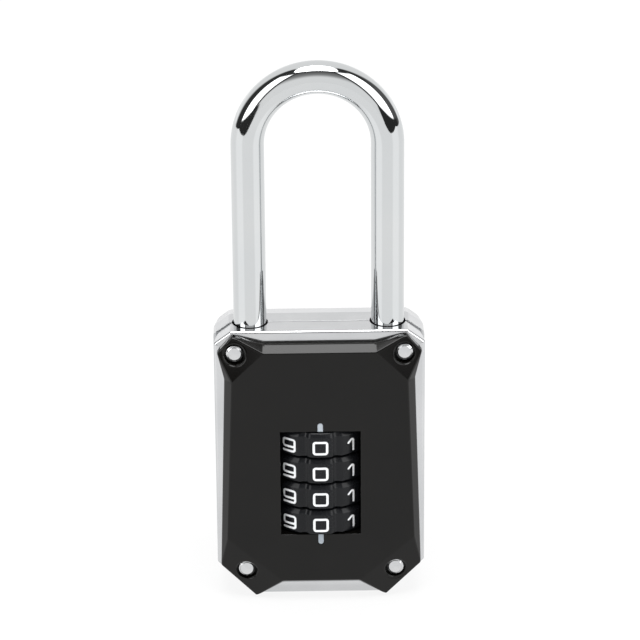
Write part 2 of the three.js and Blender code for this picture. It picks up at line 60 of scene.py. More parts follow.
# The target and the distance are in millimetres, like the lens and the sensor; the angles are degrees.
CAMERA = {
    "target": (0.327, 0.25, 69.924),
    "distance": 861.183,
    "yaw": 0.818,
    "pitch": 23.01,
    "roll": -0.437,
    "lens": 199.63,
    "sensor": 36,
}


def make_camera():
    yaw, pitch, roll = (math.radians(CAMERA[k]) for k in ("yaw", "pitch", "roll"))
    ahead = Vector((
        math.sin(yaw) * math.cos(pitch),
        math.cos(yaw) * math.cos(pitch),
        -math.sin(pitch),
    ))
    right = Vector((math.cos(yaw), -math.sin(yaw), 0))
    up = right.cross(ahead)
    turned_right = right * math.cos(roll) + up * math.sin(roll)
    turned_up = up * math.cos(roll) - right * math.sin(roll)
    rotation = Matrix((turned_right, turned_up, -ahead)).transposed()
    place = (Vector(CAMERA["target"]) - ahead * CAMERA["distance"]) * MM

    data = bpy.data.cameras.new("camera")
    data.lens = CAMERA["lens"]
    data.sensor_width = CAMERA["sensor"]
    data.clip_start = 0.01
    data.clip_end = 50
    camera = bpy.data.objects.new("camera", data)
    scene.collection.objects.link(camera)
    camera.matrix_world = Matrix.Translation(place) @ rotation.to_4x4()
    scene.camera = camera


make_camera()


# ---------------------------------------------------------------- mesh helpers

def box_of(node):
    """The low and high corners of a CAD node's box, in mm."""
    low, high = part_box(node)
    return low / MM, high / MM


def built(name, vertices, faces):
    """A mesh object from points in mm, with its faces turned outward."""
    mesh = bpy.data.meshes.new(name)
    mesh.from_pydata([Vector(v) * MM for v in vertices], [], faces)
    work = bmesh.new()
    work.from_mesh(mesh)
    bmesh.ops.recalc_face_normals(work, faces=work.faces)
    work.to_mesh(mesh)
    work.free()
    piece = bpy.data.objects.new(name, mesh)
    scene.collection.objects.link(piece)
    return piece


def lofted(name, rings, capped=True, looped=False):
    """Quads between rings of equal length, closed by two flat caps or round in a loop."""
    count = len(rings[0])
    faces = []
    pairs = [(r, r + 1) for r in range(len(rings) - 1)]
    if looped:
        pairs.append((len(rings) - 1, 0))
    for low, high in pairs:
        for i in range(count):
            j = (i + 1) % count
            faces.append((low * count + i, low * count + j, high * count + j, high * count + i))
    if capped and not looped:
        faces.append(tuple(range(count)))
        faces.append(tuple((len(rings) - 1) * count + i for i in range(count)))
    return built(name, [point for ring in rings for point in ring], faces)


def bake(piece):
    """Replaces a piece's mesh by what its modifiers make of it."""
    graph = bpy.context.evaluated_depsgraph_get()
    graph.update()
    mesh = bpy.data.meshes.new_from_object(
        piece.evaluated_get(graph), preserve_all_data_layers=True, depsgraph=graph)
    old = piece.data
    piece.modifiers.clear()
    piece.data = mesh
    mesh.name = piece.name
    bpy.data.meshes.remove(old)
    return piece


def drop(pieces):
    """Removes pieces that were only used to make others."""
    for piece in pieces:
        mesh = piece.data
        bpy.data.objects.remove(piece)
        bpy.data.meshes.remove(mesh)


def combine(piece, others, operation="DIFFERENCE"):
    """Cuts the others out of a piece, or joins them to it, and removes them."""
    for other in others:
        step = piece.modifiers.new("combine", "BOOLEAN")
        step.operation = operation
        step.solver = "MANIFOLD"
        step.object = other
    bake(piece)
    drop(others)
    return piece


def bevel(piece, width, segments, angle):
    """Rounds the edges that turn by more than an angle in degrees."""
    step = piece.modifiers.new("bevel", "BEVEL")
    step.width = width * MM
    step.segments = segments
    step.limit_method = "ANGLE"
    step.angle_limit = math.radians(angle)
    step.use_clamp_overlap = True
    step.miter_outer = "MITER_ARC"
    return bake(piece)


def smooth(piece, sharp_angle=40):
    """Smooth shading whose normals keep the large faces flat."""
    mesh = piece.data
    mesh.polygons.foreach_set("use_smooth", [True] * len(mesh.polygons))
    mesh.set_sharp_from_angle(angle=math.radians(sharp_angle))
    step = piece.modifiers.new("normals", "WEIGHTED_NORMAL")
    step.keep_sharp = True
    step.weight = 90
    return bake(piece)


def disc(radius, count):
    """Points round a circle."""
    angles = [math.tau * i / count for i in range(count)]
    return [(radius * math.cos(angle), radius * math.sin(angle)) for angle in angles]


def post(radius, z_range, centre, count=48):
    """An upright cylinder, used as a cutter."""
    ring = [(x + centre[0], y + centre[1]) for x, y in disc(radius, count)]
    return lofted("post", [[(x, y, z) for x, y in ring] for z in z_range])


def drill(radius, y_range, centre, count=40):
    """A cylinder that runs front to back, used as a cutter."""
    ring = [(x + centre[0], z + centre[1]) for x, z in disc(radius, count)]
    return lofted("drill", [[(x, y, z) for x, z in ring] for y in y_range])


def block(x_range, y_range, z_range):
    """A box, used as a cutter."""
    (x0, x1), (y0, y1) = sorted(x_range), sorted(y_range)
    ring = [(x0, y0), (x1, y0), (x1, y1), (x0, y1)]
    return lofted("block", [[(x, y, z) for x, y in ring] for z in z_range])


def turned(name, profile, count=64):
    """A profile of (radius, height) turned about Z; it starts and ends on the axis."""
    inner = profile[1:-1]
    vertices = [(0, 0, profile[0][1])]
    for radius, height in inner:
        vertices += [(x, y, height) for x, y in disc(radius, count)]
    vertices.append((0, 0, profile[-1][1]))
    last = len(vertices) - 1
    faces = []
    for i in range(count):
        j = (i + 1) % count
        faces.append((0, 1 + i, 1 + j))
        for r in range(len(inner) - 1):
            low, high = 1 + r * count, 1 + (r + 1) * count
            faces.append((low + i, low + j, high + j, high + i))
        top = 1 + (len(inner) - 1) * count
        faces.append((top + i, top + j, last))
    return built(name, vertices, faces)


def fillet(radius, steps):
    """(inset, depth) pairs of a quarter circle, from the flat face to the side."""
    quarter = [math.pi / 2 * i / steps for i in range(steps + 1)]
    return [(radius * (1 - math.sin(a)), radius * (1 - math.cos(a))) for a in quarter]


def offset_corners(corners, inset):
    """The corners of a convex outline whose sides are all moved in by the same distance."""
    count = len(corners)
    moved = []
    for i in range(count):
        a, b, c = (Vector(corners[(i + k) % count]) for k in (-1, 0, 1))
        before, after = (b - a).normalized(), (c - b).normalized()
        cross = before.x * after.y - before.y * after.x
        turn = 1 if cross > 0 else -1
        inward_before = Vector((-before.y, before.x)) * turn
        inward_after = Vector((-after.y, after.x)) * turn
        shared = inward_before + inward_after
        moved.append(b + shared * (inset / shared.dot(inward_before)))
    return moved


def rounded(corners, radii, steps):
    """Replaces every corner of an outline by an arc."""
    count = len(corners)
    outline = []
    for i in range(count):
        a, b, c = (Vector(corners[(i + k) % count]) for k in (-1, 0, 1))
        to_a, to_c = (a - b).normalized(), (c - b).normalized()
        half = to_a.angle(to_c) / 2
        radius = radii[i]
        centre = b + (to_a + to_c).normalized() * (radius / math.sin(half))
        first = b + to_a * (radius / math.tan(half)) - centre
        last = b + to_c * (radius / math.tan(half)) - centre
        for k in range(steps + 1):
            outline.append(centre + first.slerp(last, k / steps) * radius)
    return outline


# ---------------------------------------------------------------- node helpers

def add_node(tree, kind, inputs=None, **settings):
    """A node whose inputs are links or plain values, by name or number."""
    made = tree.nodes.new(kind)
    for key, value in settings.items():
        setattr(made, key, value)
    for key, value in (inputs or {}).items():
        if isinstance(value, bpy.types.NodeSocket):
            tree.links.new(value, made.inputs[key])
        else:
            made.inputs[key].default_value = value
    return made


def calc(tree, operation, *values):
    """The output of one Math node."""
    made = add_node(tree, "ShaderNodeMath", dict(enumerate(values)), operation=operation)
    return made.outputs[0]


def spread(tree, value, low, high, to_low, to_high, kind="SMOOTHSTEP"):
    """Maps a value from one range to another, clamped."""
    made = add_node(tree, "ShaderNodeMapRange", {
        "Value": value, "From Min": low, "From Max": high, "To Min": to_low, "To Max": to_high,
    }, interpolation_type=kind)
    return made.outputs["Result"]


def blend_colours(tree, share, first, second):
    """A mix of two colours: inputs 6 and 7 and output 2 of a Mix node that is set to colour."""
    made = add_node(tree, "ShaderNodeMix", data_type="RGBA")
    sockets = (made.inputs["Factor"], made.inputs[6], made.inputs[7])
    for socket, value in zip(sockets, (share, first, second)):
        if isinstance(value, bpy.types.NodeSocket):
            tree.links.new(value, socket)
        else:
            socket.default_value = value
    return made.outputs[2]


# ---------------------------------------------------------------- materials

WORN_PAINT = (0.16, 0.16, 0.165, 1)
# How alike the true and the softened normal are where an edge starts to show, and where it is full.
EDGE_LIKENESS = (0.995, 0.9)
# The part of a noise texture's output that carries its contrast.
NOISE_SPAN = (0.3, 0.7)


def new_material(name):
    """An empty material and its node tree."""
    material = bpy.data.materials.new(name)
    material.use_nodes = True
    material.node_tree.nodes.clear()
    return material, material.node_tree


def noise(tree, place, scale, detail, roughness=0.55, stretch=None):
    """A noise texture; stretch scales the three axes apart."""
    if stretch:
        place = add_node(tree, "ShaderNodeMapping", {"Vector": place, "Scale": stretch}).outputs[0]
    made = add_node(tree, "ShaderNodeTexNoise", {
        "Vector": place, "Scale": scale, "Detail": detail, "Roughness": roughness,
    })
    return made.outputs[0]


def edge_mask(tree, radius):
    """1 on sharp convex and concave edges, 0 on flat faces."""
    soft = add_node(tree, "ShaderNodeBevel", {"Radius": radius * MM}, samples=6).outputs[0]
    true = add_node(tree, "ShaderNodeNewGeometry").outputs["Normal"]
    likeness = add_node(tree, "ShaderNodeVectorMath", {0: soft, 1: true}, operation="DOT_PRODUCT")
    return spread(tree, likeness.outputs["Value"], *EDGE_LIKENESS, 0.0, 1.0)


def finish_surface(material, tree, colour, roughness, height, depth_um, constants):
    """The shader itself. depth_um is the height of the bumps in thousandths of a millimetre."""
    bump = add_node(tree, "ShaderNodeBump", {
        "Height": height, "Strength": 1.0, "Distance": depth_um * 1e-6,
    })
    shader = add_node(tree, "ShaderNodeBsdfPrincipled", {
        "Base Color": colour, "Roughness": roughness, "Normal": bump.outputs[0], **constants,
    })
    output = add_node(tree, "ShaderNodeOutputMaterial", {"Surface": shader.outputs[0]})
    output.is_active_output = True
    return material


def metal(name, dark, light, roughness, grain, depth_um, mottle=90.0, stretch=None, edge=None):
    """Bare or plated metal: slow tone changes, a fine grain, and polished edges.

    edge is the width of the polish in mm and how much of the light tone it shows.
    """
    material, tree = new_material(name)
    place = add_node(tree, "ShaderNodeTexCoord").outputs["Object"]
    slow = noise(tree, place, mottle, detail=4.0)
    fine = noise(tree, place, grain, detail=2.0, stretch=stretch)
    tone = spread(tree, slow, *NOISE_SPAN, 0.0, 1.0)
    colour = blend_colours(tree, tone, (*dark, 1), (*light, 1))
    rough = calc(tree, "ADD", spread(tree, fine, *NOISE_SPAN, *roughness),
                 spread(tree, slow, 0.35, 0.75, 0.0, 0.03))
    if edge:
        worn = edge_mask(tree, edge[0])
        colour = blend_colours(tree, calc(tree, "MULTIPLY", worn, edge[1]), colour, (*light, 1))
        rough = calc(tree, "MULTIPLY", rough, spread(tree, worn, 0.0, 1.0, 1.0, 0.8))
    height = calc(tree, "ADD", fine, calc(tree, "MULTIPLY", slow, 1.5))
    return finish_surface(material, tree, colour, rough, height, depth_um, {"Metallic": 1.0})


def painted(name, dark, light, roughness, grain, depth_um, ior, wear, edge=0.35):
    """A paint or moulded plastic: an orange-peel grain, faint smudges and lighter worn edges.

    edge is the width of the worn edges in mm, and wear how far they turn to the worn colour.
    """
    material, tree = new_material(name)
    place = add_node(tree, "ShaderNodeTexCoord").outputs["Object"]
    slow = noise(tree, place, 70.0, detail=5.0)
    smudge = noise(tree, place, 160.0, detail=6.0, roughness=0.7, stretch=(1, 1, 0.35))
    fine = noise(tree, place, grain, detail=2.0)
    tone = spread(tree, slow, *NOISE_SPAN, 0.0, 1.0)
    colour = blend_colours(tree, tone, (*dark, 1), (*light, 1))
    worn = edge_mask(tree, edge)
    patchy = calc(tree, "MULTIPLY", worn, spread(tree, smudge, 0.35, 0.65, 0.3, 1.0))
    colour = blend_colours(tree, calc(tree, "MULTIPLY", patchy, wear), colour, WORN_PAINT)
    rough = calc(tree, "ADD", spread(tree, smudge, *NOISE_SPAN, *roughness),
                 spread(tree, fine, *NOISE_SPAN, -0.02, 0.02))
    height = calc(tree, "ADD", fine, calc(tree, "MULTIPLY", smudge, 0.6))
    return finish_surface(material, tree, colour, rough, height, depth_um, {"Metallic": 0.0, "IOR": ior})


MATERIALS = {
    "satin_zinc": metal("satin_zinc", (0.575, 0.582, 0.592), (0.615, 0.621, 0.63), (0.12, 0.18),
                        grain=2600.0, depth_um=0.7, edge=(0.4, 0.6)),
    "chrome": metal("chrome", (0.615, 0.632, 0.64), (0.635, 0.648, 0.652), (0.02, 0.045),
                    grain=900.0, depth_um=0.12, mottle=60.0),
    "black_cover": painted("black_cover", (0.0024, 0.0022, 0.0019), (0.0034, 0.0031, 0.0027),
                           (0.1, 0.14), grain=3200.0, depth_um=0.6, ior=1.335, edge=0.25, wear=0.03),
    "dial_black": painted("dial_black", (0.0050, 0.0054, 0.0066), (0.0075, 0.008, 0.0094), (0.2, 0.3),
                          grain=2400.0, depth_um=1.0, ior=1.31, wear=0.04),
    "white_paint": painted("white_paint", (0.84, 0.86, 0.88), (0.9, 0.91, 0.92), (0.35, 0.5),
                           grain=2500.0, depth_um=3.0, ior=1.45, wear=0.0),
    "mark_paint": painted("mark_paint", (0.31, 0.35, 0.39), (0.42, 0.46, 0.5), (0.3, 0.45),
                          grain=2500.0, depth_um=2.0, ior=1.45, wear=0.0),
    "rivet_steel": metal("rivet_steel", (0.585, 0.595, 0.605), (0.65, 0.655, 0.66), (0.12, 0.18),
                         grain=2200.0, depth_um=0.5, mottle=300.0, edge=(0.2, 0.6)),
    "screw_steel": metal("screw_steel", (0.33, 0.33, 0.34), (0.45, 0.45, 0.45), (0.25, 0.4),
                         grain=1800.0, depth_um=3.0, mottle=400.0, edge=(0.2, 0.6)),
    "spring_steel": metal("spring_steel", (0.4, 0.4, 0.41), (0.5, 0.5, 0.5), (0.2, 0.34),
                          grain=1500.0, depth_um=2.0, mottle=300.0, stretch=(1, 1, 0.2)),
    "plate_steel": metal("plate_steel", (0.36, 0.36, 0.37), (0.48, 0.48, 0.485), (0.28, 0.42),
                         grain=1400.0, depth_um=4.0, mottle=200.0, stretch=(0.15, 1, 1),
                         edge=(0.3, 0.6)),
    "brass": metal("brass", (0.5, 0.36, 0.16), (0.62, 0.46, 0.22), (0.22, 0.36),
                   grain=1600.0, depth_um=3.0, mottle=250.0, stretch=(1, 1, 4), edge=(0.2, 0.6)),
}

# CAD nodes that keep their own shape, inside the lock.
CARRIED_OVER = {
    "detent_spring": "spring_steel",
    "shackle_spring": "spring_steel",
    "spindle_clip": "spring_steel",
    "lift_yoke": "plate_steel",
    "spindle": "brass",
    **{f"sleeve_{k}": "brass" for k in range(1, 5)},
    **{f"case_screw_{corner}": "screw_steel" for corner in CORNERS},
}


def place_piece(piece, slot, body, *nodes):
    """Gives a finished piece its material, hides the CAD nodes it stands for and hangs it on the body it
    rides on.
    """
    piece.data.materials.clear()
    piece.data.materials.append(MATERIALS[slot])
    if nodes:
        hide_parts(*nodes)
    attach(piece, body)


def dress_carried_nodes():
    """Gives the CAD nodes that keep their own shape their materials."""
    for name, slot in CARRIED_OVER.items():
        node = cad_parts[name]
        for holder in node.material_slots:
            holder.material = MATERIALS[slot]
        if not node.material_slots:
            node.data.materials.append(MATERIALS[slot])


dress_carried_nodes()


# ---------------------------------------------------------------- shells

HEIGHT = 70.5
HALF_WIDTH = 25.6
TOP_CHAMFER = (4.05, 3.0)
BOTTOM_CHAMFER = (9.5, 8.7)
FRONT_PLANE = -8.3
SEAM = -1.7
SLOPE_START = 3.6
REAR_PLANE = 9.0
# How much narrower the front shell gets towards the seam, and how much narrower and lower the rear
# shell gets between the start of its slope and its rear face.
FRONT_DRAFT = 0.6
REAR_DRAFT = 0.85
# How much smaller the top chamfers get towards the rear, and their rise per millimetre of width.
REAR_FULLER = 0.9
FULLER_RISE = 0.7

# (at the start, growth to the end) of the outline's corner radii, for the lower and the upper corners.
FRONT_RADII = ((0.7, 0.5), (0.5, 1.6))
REAR_RADII = ((1.2, 0.8), (1.7, 0.7))
CORNER_STEPS = 6
SEAM_EDGE = 0.06
REAR_EDGE = 1.2
# Distance of a supporting ring from a rounded edge, which keeps the side beside it flat.
SUPPORT = 0.12
SEAM_SUPPORT = 0.1
SHELL_BEVEL = {"width": 0.18, "segments": 2, "angle": 50}

# (inset, depth) steps from the front shell's flat front to its side: a margin that leans back,
# then the rounded edge.
FRONT_MARGIN = [
    (2.5, 0.0), (2.3, 0.02), (0.72, 0.36), (0.58, 0.4), (0.42, 0.47), (0.27, 0.57), (0.14, 0.71),
    (0.05, 0.88), (0.01, 1.04), (0.0, 1.15),
]

SHACKLE_Y = -1.7
LEG_X = 16.64
BORE = {"radius": 4.38, "heel_floor": 47.9, "toe_floor": 57.9}
DIAL_AXIS = (0.0, -0.8)
DIAL_WELL = {"radius": 13.3, "span": (18.4, 46.1)}
# (radius, height range) on the dials' axis.
CLIP_ROOM = (3.9, (52, 67.8))
SPINDLE_BORE = (3.3, (2.8, 52))
# (x range, y range, z range).
YOKE_ROOM = ((-LEG_X, 4.3), (SHACKLE_Y - 3.5, DIAL_AXIS[1] + 5.2), (50.1, 65.9))

# The same for the slot that the spindle's top fin rises into, the detent spring's room, and then the
# pockets that only save metal.
POCKET_DEPTH = (-6.3, 7)
HOLLOWS = [
    ((-1.1, 1.1), (DIAL_AXIS[1], DIAL_AXIS[1] + 5), (45.1, 52)),
    ((12, 16.5), (-3.4, 1.8), (19.6, 45.3)),
    ((6.3, 11), (-5.4, 5.6), (49.5, 66)),
    ((12.5, 21), POCKET_DEPTH, (47.8, 56)),
    ((5.5, 15.5), POCKET_DEPTH, (3, 15)),
    ((-15.5, -5.5), POCKET_DEPTH, (3, 15)),
    ((17.5, 23), POCKET_DEPTH, (21, 37)),
    ((-23, -17.5), POCKET_DEPTH, (21, 37)),
]

SCREW_PLACES = [(x, z) for x in (-19.5, 19.5) for z in (17, 41)]
SCREW = {"hole": 1.6, "tip": -6.7, "seat": 2.6, "seat_depth": 2.3}
RIVET_HOLE = 1.5
# Depth at which each side's rivet holes end inside the shell.
RIVET_ENDS = {"front": -6.0, "rear": 6.9}


def corner_radii(radii, share):
    """The radii of the right half's four corners, a share of the way from the start to the end."""
    (low, low_growth), (high, high_growth) = radii
    return [low + low_growth * share] * 2 + [high + high_growth * share] * 2


def body_ring(y, side, top, inset, radii, fuller=0.0):
    """The eight-sided outline of the body at one depth, with rounded corners.

    side and top make it narrower and lower, and fuller makes its top chamfers smaller.
    """
    half, high = HALF_WIDTH - side, HEIGHT - top
    right = [
        (half - BOTTOM_CHAMFER[0], 0),
        (half, BOTTOM_CHAMFER[1]),
        (half, high - TOP_CHAMFER[1] + FULLER_RISE * fuller),
        (half - TOP_CHAMFER[0] + fuller, high),
    ]
    left = [(-x, z) for x, z in reversed(right)]
    corners = offset_corners(right + left, inset)
    return [(p.x, y, p.y) for p in rounded(corners, radii + radii[::-1], CORNER_STEPS)]


def front_shell_blank():
    start, end = FRONT_PLANE, SEAM - GAP / 2

    def ring(y, inset):
        share = (y - start) / (end - start)
        return body_ring(y, FRONT_DRAFT * share, 0, inset, corner_radii(FRONT_RADII, share))

    rings = [ring(start + depth, inset) for inset, depth in FRONT_MARGIN]
    rings.append(ring(start + FRONT_MARGIN[-1][1] + SUPPORT, 0))
    rings.append(ring(end - SEAM_EDGE - SEAM_SUPPORT, 0))
    rings += [ring(end - depth, inset) for inset, depth in reversed(fillet(SEAM_EDGE, 3))]
    return lofted("front_shell_casting", rings)


def rear_shell_blank():
    start, end = SEAM + GAP / 2, REAR_PLANE

    def ring(y, inset):
        share = max(0.0, (y - SLOPE_START) / (end - SLOPE_START))
        radii = corner_radii(REAR_RADII, (y - start) / (end - start))
        drawn_in = REAR_DRAFT * share
        return body_ring(y, drawn_in, drawn_in, inset, radii, fuller=REAR_FULLER * share)

    rings = [ring(start + depth, inset) for inset, depth in fillet(SEAM_EDGE, 3)]
    rings.append(ring(start + SEAM_EDGE + SEAM_SUPPORT, 0))
    rings += [ring(SLOPE_START + shift, 0) for shift in (-SUPPORT, 0.0, SUPPORT)]
    rings.append(ring(end - REAR_EDGE - SUPPORT, 0))
    rings += [ring(end - depth, inset) for inset, depth in reversed(fillet(REAR_EDGE, 7))]
    return lofted("rear_shell_casting", rings)


def dial_well():
    return post(DIAL_WELL["radius"], DIAL_WELL["span"], DIAL_AXIS, 96)


def interior_cutters():
    """Everything that both shells are hollowed out for."""
    cutters = [
        dial_well(),
        post(BORE["radius"], (BORE["heel_floor"], HEIGHT + 5), (-LEG_X, SHACKLE_Y), 64),
        post(BORE["radius"], (BORE["toe_floor"], HEIGHT + 5), (LEG_X, SHACKLE_Y), 64),
        block(*YOKE_ROOM),
        post(*CLIP_ROOM, DIAL_AXIS),
        post(*SPINDLE_BORE, DIAL_AXIS),
    ]
    cutters += [block(*ranges) for ranges in HOLLOWS]
    for place in SCREW_PLACES:
        cutters.append(drill(SCREW["hole"], (SCREW["tip"], REAR_PLANE), place, 24))
        cutters.append(drill(SCREW["seat"], (REAR_PLANE - SCREW["seat_depth"], REAR_PLANE + 1), place))
    return cutters


def rivet_places(side):
    """(x, z, depth of the head's top) of the rivets on one side, from their CAD nodes."""
    found = []
    for corner in CORNERS:
        low, high = box_of(f"{side}_rivet_{corner}")
        found.append(((low.x + high.x) / 2, (low.z + high.z) / 2, low.y if side == "front" else high.y))
    return found


def make_shells():
    for side, blank, outside in (
        ("front", front_shell_blank(), FRONT_PLANE - 1),
        ("rear", rear_shell_blank(), REAR_PLANE + 1),
    ):
        depth = sorted((outside, RIVET_ENDS[side]))
        cutters = interior_cutters()
        cutters += [drill(RIVET_HOLE, depth, (x, z), 24) for x, z, _ in rivet_places(side)]
        combine(blank, cutters)
        bevel(blank, **SHELL_BEVEL)
        smooth(blank)
        place_piece(blank, "satin_zinc", "case", f"{side}_shell")


make_shells()


# ---------------------------------------------------------------- covers

# The right halves of a cover's flat face and of its base, downwards from the top, and for each point
# of the base the point of the face that its facet rises to.
COVER_FACE = [(13.5, 66.7), (21.2, 59.15), (22.8, 17.6), (9.4, 5.8)]
COVER_BASE = [
    (13.4, 68.3), (21.1, 70.2), (24.7, 66.1), (23.05, 59.2), (24.6, 9.2), (16, 0.6), (9.4, 4.3),
]
OWNERS = [0, 0, 1, 1, 2, 3, 3]
FRONT_RIM = 1.8
REAR_RIM = 1.2
COVER_SKIN = 1.6
FRONT_FACE = -12.8
REAR_FACE = 13.8
REAR_INSET = 2.0
COVER_BEVEL = {"width": 0.3, "segments": 4, "angle": 4}
# (x range, z range) of the hollows in a cover's back.
COVER_HOLLOWS = [
    ((-18.6, -14.2), (16, 56)),
    ((14.2, 18.6), (16, 56)),
    ((-11, 11), (50.5, 63.5)),
    ((-11, 11), (8.5, 14)),
]

RIVET_SEAT = 2.55
RIVET_SINK = 1.3
# (radius, height above the facet) of the cutter that rounds the mouth of a rivet's seat.
LIP_FLARE = [
    (0.0, -1.2), (2.3, -1.2), (2.5, -0.5), (2.56, -0.3), (2.67, -0.13), (2.83, -0.02), (3.0, 0.0),
    (3.3, 0.02), (3.3, 1.5), (0.0, 1.5),
]
CLEAR_OF_BODY = 40

WINDOW = {"half": 9.75, "bottom": 18.45, "top": 46.05}
# (depth below the flat face, widening) of the lip round the window.
WINDOW_LIP = [(0.14, 0.0), (0.05, 0.03), (0.01, 0.08), (0.0, 0.14), (-2, 0.16)]
MARK = {"half": 0.65, "depth": 0.3, "top": 48.25, "bottom": 15.8, "clearance": 0.1}
MARK_BEVEL = {"width": 0.1, "segments": 3, "angle": 50}


def cover_blank(name, face_y, base_y, rim, inset):
    """A faceted plate: an upright rim, then facets that rise to the flat face.

    inset draws the outline in, as on the rear cover.
    """
    outward = math.copysign(1, face_y - base_y)

    def whole(half):
        pulled = [(x - inset, z - inset if z > HEIGHT / 2 else z + inset) for x, z in half]
        return pulled + [(-x, z) for x, z in reversed(pulled)]

    face, base = whole(COVER_FACE), whole(COVER_BASE)
    owners = OWNERS + [len(face) - 1 - owner for owner in reversed(OWNERS)]
    count = len(base)
    vertices = [(x, base_y, z) for x, z in base]
    vertices += [(x, base_y + outward * rim, z) for x, z in base]
    vertices += [(x, face_y, z) for x, z in face]
    faces = [tuple(range(count)), tuple(2 * count + i for i in range(len(face)))]
    for i in range(count):
        j = (i + 1) % count
        faces.append((i, j, count + j, count + i))
        if owners[i] == owners[j]:
            faces.append((count + i, count + j, 2 * count + owners[j]))
        else:
            faces.append((count + i, count + j, 2 * count + owners[j], 2 * count + owners[i]))
    return built(name, vertices, faces)


def mark_outline(near, far, half):
    """A bar from the window's edge to a round tip."""
    away = math.copysign(1, far - near)
    arc = [math.pi * i / 12 for i in range(13)]
    tip = [(half * math.cos(a), far - away * half * (1 - math.sin(a))) for a in arc]
    return [(half, near), *tip, (-half, near)]


def mark_solid(name, near, far, half, y_range):
    outline = mark_outline(near, far, half)
    return lofted(name, [[(x, y, z) for x, z in outline] for y in y_range])


def lip_cutter(cover, x, z, outward):
    """A flare that rounds the mouth of a rivet seat, square to the facet it sits in."""
    start = Vector((x, outward * CLEAR_OF_BODY, z)) * MM
    _, place, normal, _ = cover.ray_cast(start, Vector((0, -outward, 0)))
    cutter = turned("lip", LIP_FLARE)
    turn = Vector((0, 0, 1)).rotation_difference(normal).to_matrix().to_4x4()
    cutter.data.transform(Matrix.Translation(place) @ turn)
    return cutter


def cover_cutters(cover, side, face_y, base_y):
    """The dials' well, the hollows in the back, and the rivets' seats and holes."""
    outward = math.copysign(1, face_y - base_y)
    depth = (base_y - outward, face_y - outward * COVER_SKIN)
    cutters = [dial_well()]
    cutters += [block(x_range, depth, z_range) for x_range, z_range in COVER_HOLLOWS]
    for x, z, head in rivet_places(side):
        floor = head - outward * RIVET_SINK
        cutters.append(drill(RIVET_SEAT, (floor, face_y + outward), (x, z), 64))
        cutters.append(drill(RIVET_HOLE, (floor + outward * 0.1, base_y - outward), (x, z), 24))
        cutters.append(lip_cutter(cover, x, z, outward))
    return cutters


def window_cutter(inner):
    """The window's opening, which widens into a small rounded lip at the flat face."""
    half, bottom, top = WINDOW["half"], WINDOW["bottom"], WINDOW["top"]
    rings = []
    for y, wide in [(inner, 0.0)] + [(FRONT_FACE + depth, wide) for depth, wide in WINDOW_LIP]:
        left, right, low, high = -half - wide, half + wide, bottom - wide, top + wide
        rings.append([(left, y, low), (right, y, low), (right, y, high), (left, y, high)])
    return lofted("window", rings)


def make_covers():
    front_base = FRONT_PLANE - GAP
    front = cover_blank("front_cover_plate", FRONT_FACE, front_base, FRONT_RIM, 0)
    bevel(front, **COVER_BEVEL)
    clearance = MARK["clearance"]
    wide = MARK["half"] + clearance
    recess = (FRONT_FACE - 1, FRONT_FACE + MARK["depth"] + GAP)
    combine(front, [
        window_cutter(front_base + 2),
        mark_solid("recess", WINDOW["top"] - 1, MARK["top"] + clearance, wide, recess),
        mark_solid("recess", WINDOW["bottom"] + 1, MARK["bottom"] - clearance, wide, recess),
        *cover_cutters(front, "front", FRONT_FACE, front_base),
    ])
    smooth(front)
    place_piece(front, "black_cover", "case", "front_cover")

    rear_base = REAR_PLANE + GAP
    rear = cover_blank("rear_cover_plate", REAR_FACE, rear_base, REAR_RIM, REAR_INSET)
    bevel(rear, **COVER_BEVEL)
    combine(rear, cover_cutters(rear, "rear", REAR_FACE, rear_base))
    smooth(rear)
    place_piece(rear, "black_cover", "case", "rear_cover")


def make_marks():
    inlay = (FRONT_FACE, FRONT_FACE + MARK["depth"])
    for name, near, far in (
        ("upper_index", WINDOW["top"], MARK["top"]),
        ("lower_index", WINDOW["bottom"], MARK["bottom"]),
    ):
        piece = mark_solid(f"{name}_inlay", near, far, MARK["half"], inlay)
        bevel(piece, **MARK_BEVEL)
        smooth(piece)
        place_piece(piece, "mark_paint", "case", f"{name}_mark")


make_covers()
make_marks()


# ---------------------------------------------------------------- rivets

# (radius, height) from the tip of the shank to the middle of the head: a raised flat disc inside a
# sloping rim.
RIVET_PROFILE = [
    (0, -4.4), (0.95, -4.4), (1.12, -4.33), (1.2, -4.15), (1.2, -1.0), (2.0, -1.0), (2.08, -0.93),
    (2.1, -0.8), (2.1, -0.42), (2.09, -0.35), (2.06, -0.29), (2.0, -0.24), (1.75, -0.15),
    (1.66, -0.11), (1.6, -0.05), (1.55, -0.015), (1.47, 0.0), (0.75, 0.006), (0, 0.008),
]


def make_rivets():
    for side, turn in (("front", math.pi / 2), ("rear", -math.pi / 2)):
        for corner, (x, z, head) in zip(CORNERS, rivet_places(side)):
            piece = turned(f"{side}_rivet_{corner}_pin", RIVET_PROFILE)
            smooth(piece, 50)
            piece.rotation_euler = (turn, 0, 0)
            piece.location = Vector((x, head, z)) * MM
            place_piece(piece, "rivet_steel", "case", f"{side}_rivet_{corner}")


make_rivets()


# ---------------------------------------------------------------- shackle

WIRE = 4.0
BEND_CENTRE = 116.25
BEND_STEPS = 72
# (height, radius) of the heel's end, with the groove that the yoke holds, and of the rounded toe.
HEEL_TURNING = [
    (48.5, 3.2), (48.6, 3.55), (48.85, 3.85), (49.2, 4.0), (49.7, 4.0), (49.9, 3.9), (50.0, 3.7),
    (50.0, 2.7), (50.15, 2.5), (52.25, 2.5), (52.4, 2.7), (52.4, 3.7), (52.5, 3.9), (52.7, 4.0),
]
TOE_TURNING = [(60.1, 4.0), (59.5, 3.93), (58.9, 3.68), (58.45, 3.35), (58.25, 3.1), (58.2, 2.9)]


